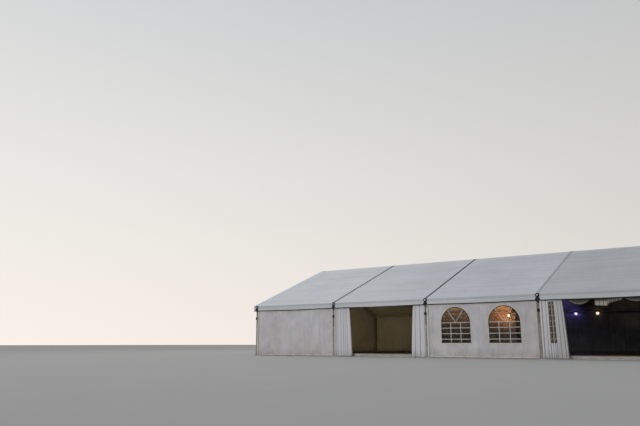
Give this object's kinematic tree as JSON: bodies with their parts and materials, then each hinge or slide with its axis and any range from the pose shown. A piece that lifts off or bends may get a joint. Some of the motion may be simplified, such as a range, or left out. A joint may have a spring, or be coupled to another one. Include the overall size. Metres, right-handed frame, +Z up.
{
  "type": "marquee tent",
  "caption": "Clear-span marquee with a white double-pitch roof on aluminium frames, drawn-back wall doorways, arched clear windows and a floor.",
  "frame": {"origin": "on the ground, in the middle of the plan", "axes": "+X along the ridge with the plain end bay of the picture at -X, +Z up, and the front with the doorways faces -Y"},
  "size_m": [25.386, 12.8606, 5.1],
  "materials": {
    "roof_pvc": "satin coated white sheet",
    "wall_pvc": "satin coated white sheet",
    "curtain_pvc": "satin coated white sheet, pleated",
    "clear_pvc": "clear flexible sheet",
    "frame_aluminium": "mill finish, weathered",
    "leg_aluminium": "mill finish, weathered olive grey",
    "pelmet_cloth": "matt ivory cloth",
    "dark_cloth": "matt black cloth",
    "floor_board": "worn plywood"
  },
  "bodies": {
    "root": {"front_leg_1": "leg_aluminium", "front_leg_2": "leg_aluminium", "front_leg_3": "leg_aluminium", "front_leg_4": "leg_aluminium", "front_leg_5": "leg_aluminium", "front_leg_6": "leg_aluminium", "back_leg_1": "leg_aluminium", "back_leg_2": "leg_aluminium", "back_leg_3": "leg_aluminium", "back_leg_4": "leg_aluminium", "back_leg_5": "leg_aluminium", "back_leg_6": "leg_aluminium", "rafter_pair_1": "frame_aluminium", "rafter_pair_2": "frame_aluminium", "rafter_pair_3": "frame_aluminium", "rafter_pair_4": "frame_aluminium", "rafter_pair_5": "frame_aluminium", "rafter_pair_6": "frame_aluminium", "roof_sheet_1": "roof_pvc", "roof_sheet_2": "roof_pvc", "roof_sheet_3": "roof_pvc", "roof_sheet_4": "roof_pvc", "roof_sheet_5": "roof_pvc", "ridge_purlin": "frame_aluminium", "front_purlin_upper": "frame_aluminium", "front_purlin_lower": "frame_aluminium", "back_purlin_upper": "frame_aluminium", "back_purlin_lower": "frame_aluminium", "front_eave_rail": "frame_aluminium", "back_eave_rail": "frame_aluminium", "front_wall_1": "wall_pvc", "front_wall_5": "wall_pvc", "front_window_wall_3": "wall_pvc", "back_wall_1": "wall_pvc", "back_wall_2": "wall_pvc", "back_wall_4": "wall_pvc", "back_wall_5": "wall_pvc", "back_window_wall_3": "wall_pvc", "left_gable_sheet": "wall_pvc", "right_gable_sheet": "wall_pvc", "front_curtain_2_left": "curtain_pvc", "front_curtain_2_right": "curtain_pvc", "front_curtain_4_left": "curtain_pvc", "front_curtain_4_right": "curtain_pvc", "front_window_sheet_3": "clear_pvc", "back_window_sheet_3": "clear_pvc", "left_gable_post_front": "leg_aluminium", "left_gable_post_back": "leg_aluminium", "right_gable_post_front": "leg_aluminium", "right_gable_post_back": "leg_aluminium", "door_pelmet_4": "pelmet_cloth", "dark_wall_lining": "dark_cloth", "dark_roof_lining": "dark_cloth", "floor": "floor_board"}
  },
  "joints": []
}
